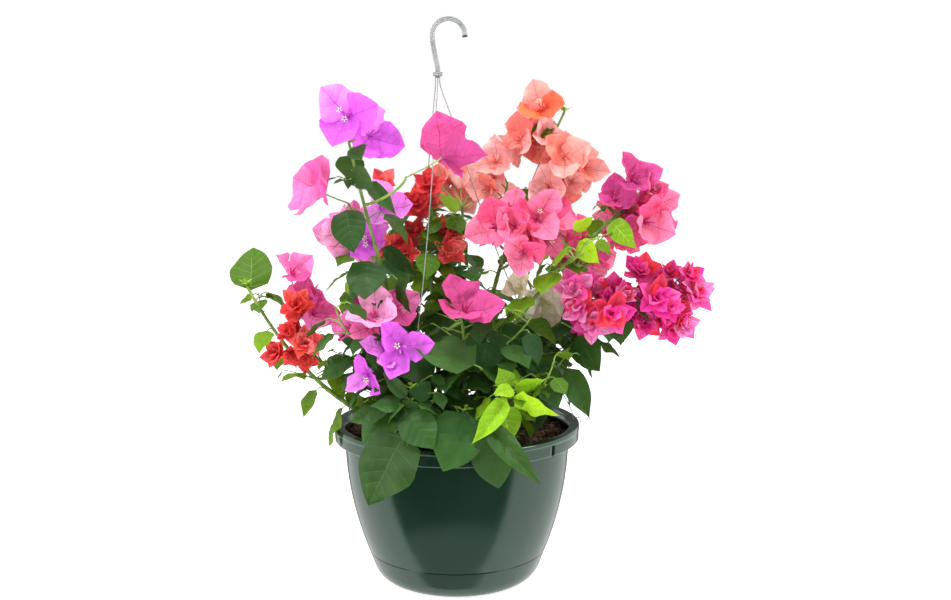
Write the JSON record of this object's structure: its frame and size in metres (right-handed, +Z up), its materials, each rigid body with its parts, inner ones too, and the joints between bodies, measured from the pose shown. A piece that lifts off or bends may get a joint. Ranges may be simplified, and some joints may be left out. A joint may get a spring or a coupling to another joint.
{
  "type": "bougainvillea bush",
  "caption": "Flowering bougainvillea bush: slender canes with green leaves and papery bracts in pink, red, coral, cream and violet, in a round plastic basket with saucer and wire hanger.",
  "frame": {"origin": "centre of the saucer's flat underside, on which the potted plant stands", "axes": "+Z up, -Y towards the front of the plant, +X to the right seen from the front"},
  "size_m": [0.4869, 0.3244, 0.5734],
  "materials": {
    "pot": "satin moulded",
    "soil": "rough and matt",
    "wire": "bright drawn wire",
    "wood": "smooth young bark",
    "leaf_dark": "satin leaf",
    "leaf_mid": "satin leaf",
    "leaf_lime": "satin leaf",
    "bract_violet": "papery",
    "bract_pink": "papery",
    "bract_magenta": "papery",
    "bract_hotpink": "papery",
    "bract_red": "papery",
    "bract_coral": "papery",
    "bract_cream": "papery"
  },
  "bodies": {
    "root": {"saucer": "pot", "pot": "pot", "soil": "soil", "hanger_ferrule": "wire", "hanger_hook": "wire", "hanger_wire_1": "wire", "hanger_wire_2": "wire", "hanger_wire_3": "wire", "cane_left_tall": "wood", "foliage_left_tall": "leaf_dark", "cane_left_low": "wood", "foliage_left_low": "leaf_mid", "cane_left_mid": "wood", "foliage_left_mid": "leaf_dark", "cane_centre_back": "wood", "foliage_centre_back": "leaf_mid", "cane_coral": "wood", "foliage_coral": "leaf_mid", "cane_right_cane": "wood", "foliage_right_cane": "leaf_lime", "cane_right_low": "wood", "foliage_right_low": "leaf_dark", "cane_centre_front": "wood", "foliage_centre_front": "leaf_dark", "cane_front_left": "wood", "foliage_front_left": "leaf_dark", "cane_front_low": "wood", "foliage_front_low": "leaf_dark", "cane_front_right": "wood", "foliage_front_right": "leaf_lime", "cane_right_dark": "wood", "foliage_right_dark": "leaf_dark", "cane_back_left": "wood", "foliage_back_left": "leaf_mid", "cane_back_centre": "wood", "foliage_back_centre": "leaf_dark", "cane_back_right": "wood", "foliage_back_right": "leaf_mid", "blossom_violet_crown": "bract_violet", "blossom_pink_left": "bract_pink", "blossom_magenta_high": "bract_magenta", "blossom_violet_behind": "bract_violet", "blossom_pink_low_left": "bract_pink", "blossom_red_left": "bract_red", "blossom_pink_front": "bract_pink", "blossom_violet_front": "bract_violet", "blossom_red_high": "bract_red", "blossom_red_middle": "bract_red", "blossom_coral_top": "bract_coral", "blossom_coral_middle": "bract_coral", "blossom_coral_left": "bract_coral", "blossom_magenta_middle": "bract_magenta", "blossom_magenta_right": "bract_magenta", "blossom_hotpink_near": "bract_hotpink", "blossom_hotpink_far": "bract_hotpink", "blossom_pink_fold": "bract_magenta", "blossom_cream_right": "bract_cream", "blossom_pink_back": "bract_pink", "blossom_coral_back": "bract_coral", "blossom_magenta_back": "bract_magenta"}
  },
  "joints": []
}
